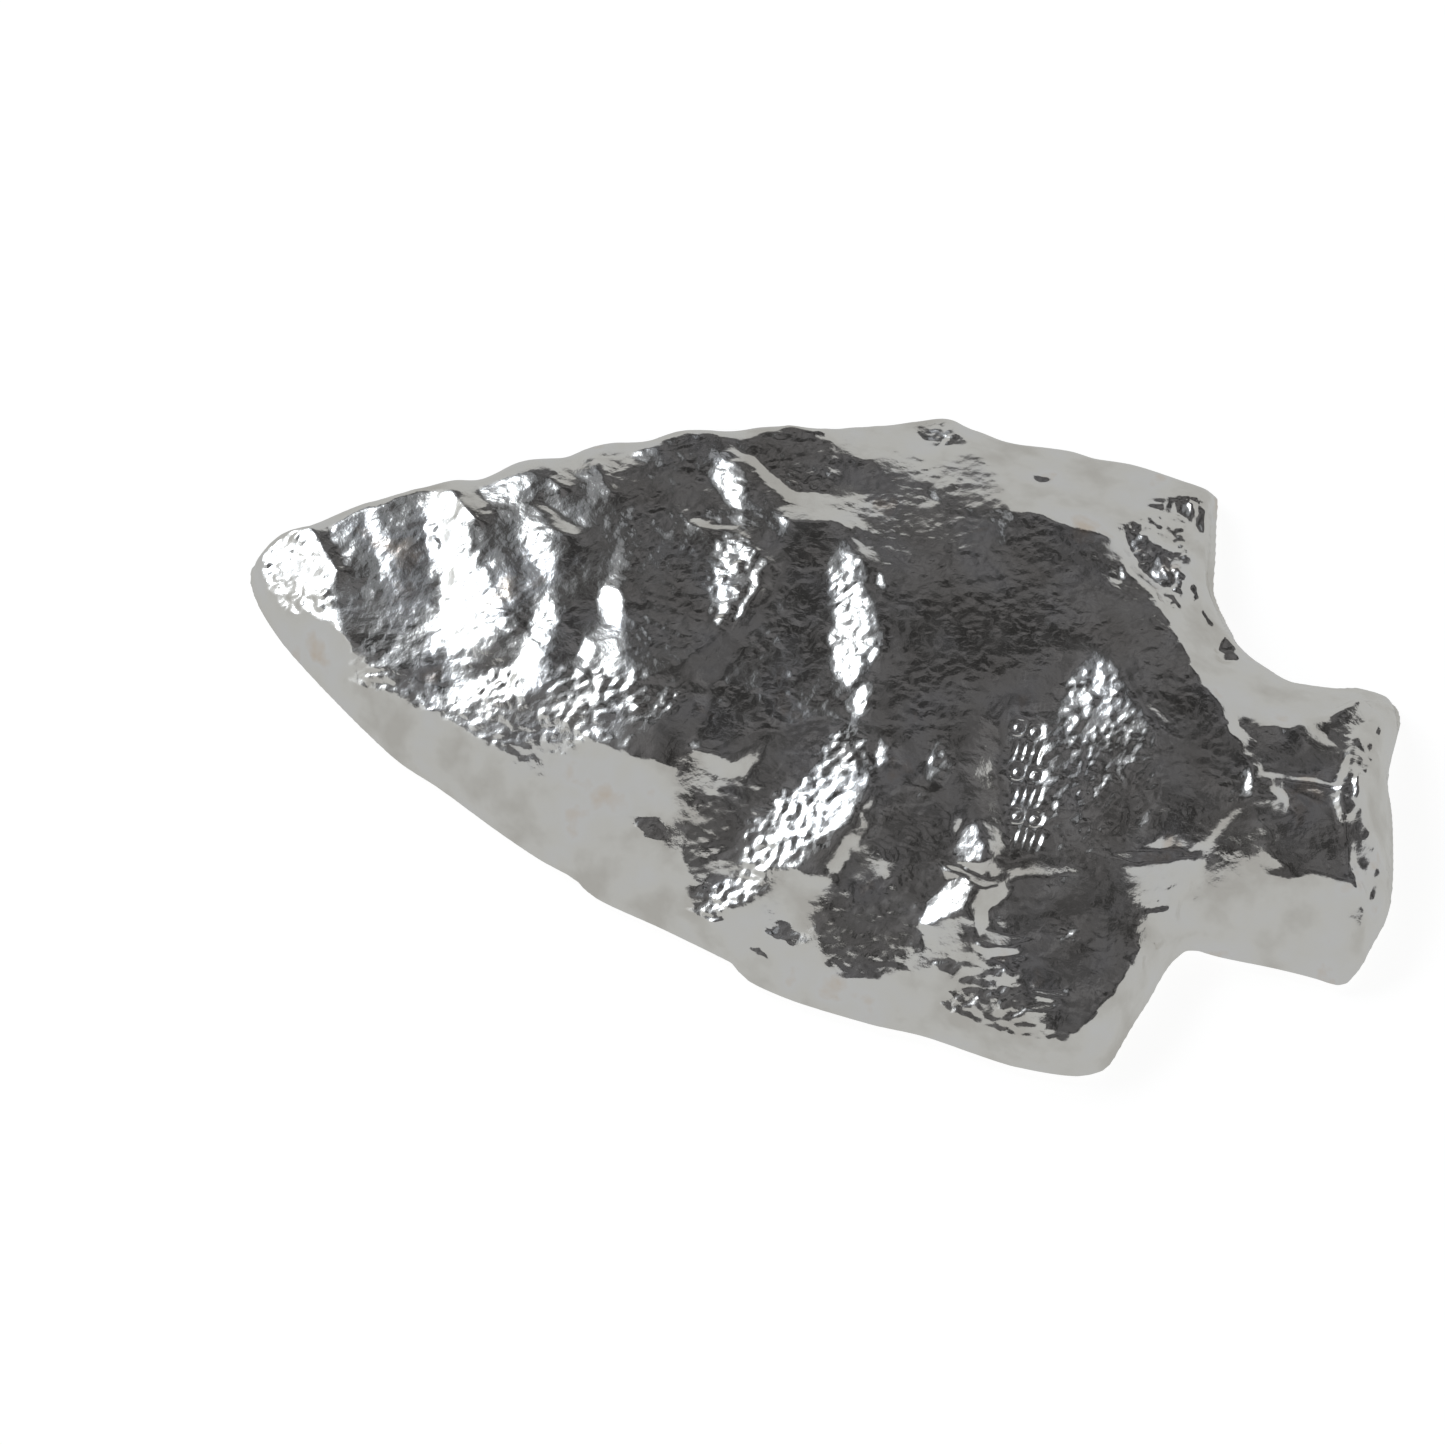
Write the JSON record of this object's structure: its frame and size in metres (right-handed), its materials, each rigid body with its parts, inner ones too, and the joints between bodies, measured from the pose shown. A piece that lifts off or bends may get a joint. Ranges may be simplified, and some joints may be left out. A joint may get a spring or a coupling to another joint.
{
  "type": "cast metal arrowhead",
  "caption": "Solid cast silver arrowhead in the shape of a knapped, corner-notched flint point, with a flaked face, a flat back, two barbs and a flared stem.",
  "frame": {"origin": "on the flat back, under the middle of the outline's box", "axes": "+X from the tip towards the stem, +Y across the blade towards the shorter-edged barb, +Z out of the flat back through the flaked face"},
  "size_m": [0.0482, 0.028, 0.0049],
  "materials": {
    "polished_silver": "polished"
  },
  "bodies": {
    "root": {"arrowhead": "polished_silver"}
  },
  "joints": []
}
